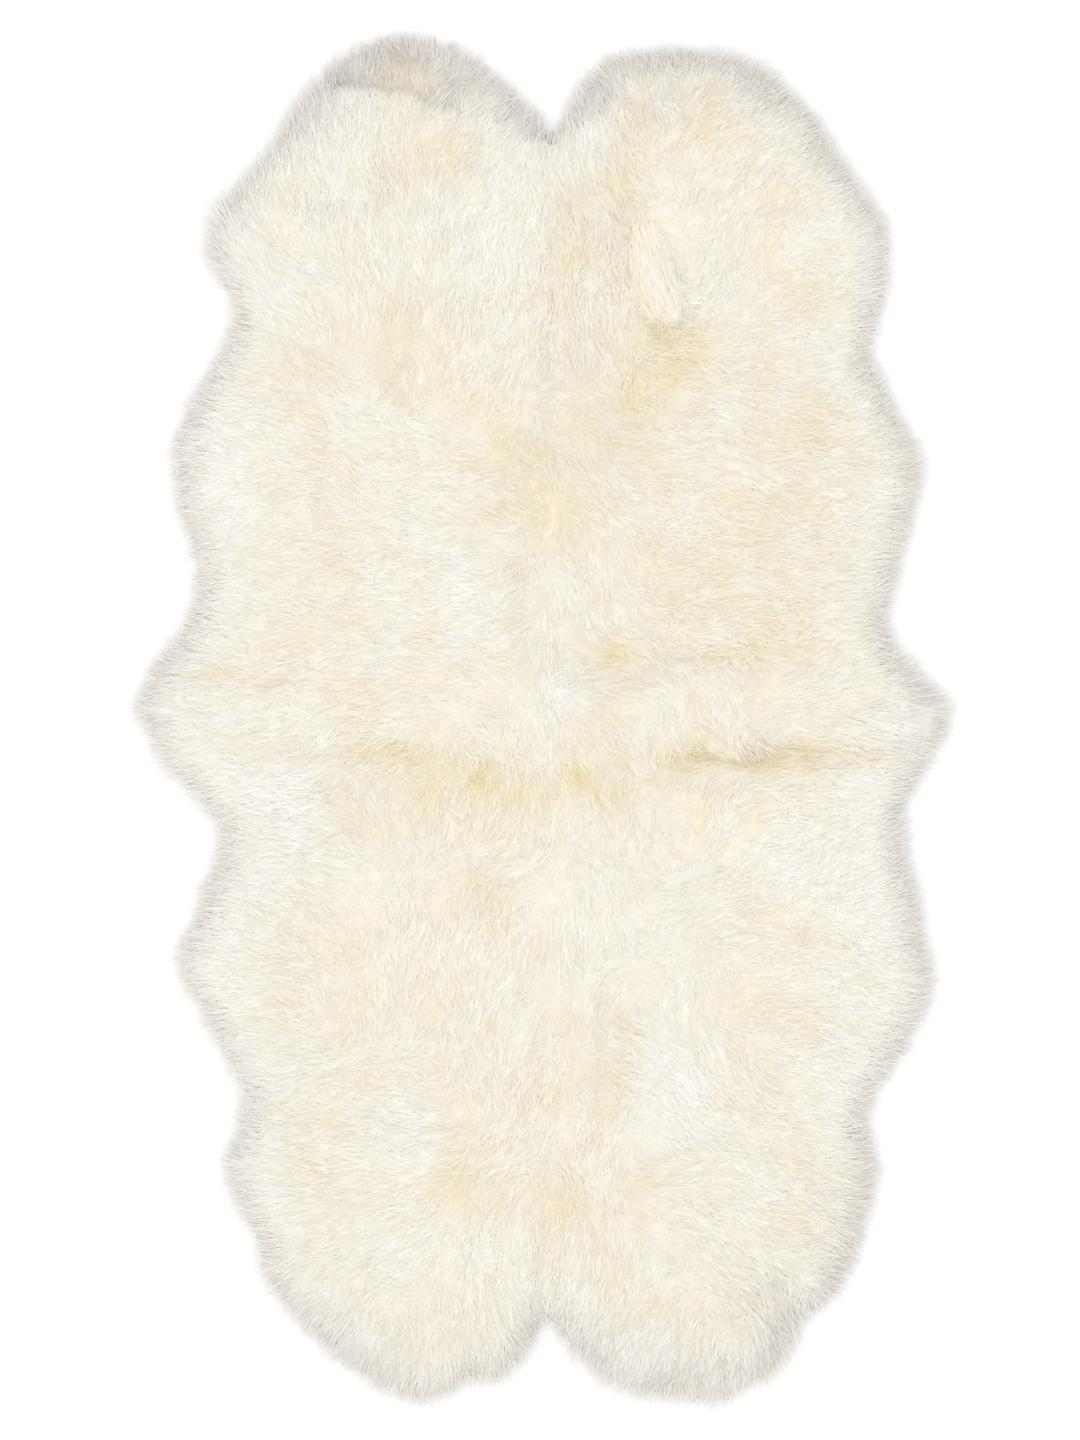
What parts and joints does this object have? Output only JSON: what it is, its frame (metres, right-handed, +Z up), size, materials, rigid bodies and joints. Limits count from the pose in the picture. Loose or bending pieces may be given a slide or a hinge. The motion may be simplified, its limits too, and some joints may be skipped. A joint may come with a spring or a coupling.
{
  "type": "sheepskin rug",
  "caption": "Flat wool rug of sheepskin pelts sewn edge to edge along a spine seam and a cross seam, with a wavy natural outline and a deep soft pile.",
  "frame": {"origin": "under the middle of the rug's box, on the surface it lies on", "axes": "+Z up out of the wool, +Y along the spine seam towards the upper necks, +X to the right with the wool up"},
  "size_m": [1.0832, 1.8274, 0.0532],
  "materials": {
    "wool_upper_left": "long soft ivory wool on the skin, matte with a faint silky sheen",
    "wool_upper_right": "long soft ivory wool on the skin, matte with a faint silky sheen, creamier at the roots",
    "wool_lower_right": "long soft ivory wool on the skin, matte with a faint silky sheen",
    "wool_lower_left": "long soft ivory wool on the skin, matte with a faint silky sheen",
    "suede_underside": "pale tanned suede, matte, with sewn seams",
    "seam_thread": "plain waxed sewing thread"
  },
  "bodies": {
    "root": {"pelt_upper_left": "wool_upper_left", "pelt_upper_right": "wool_upper_right", "pelt_lower_right": "wool_lower_right", "pelt_lower_left": "wool_lower_left"}
  },
  "joints": []
}
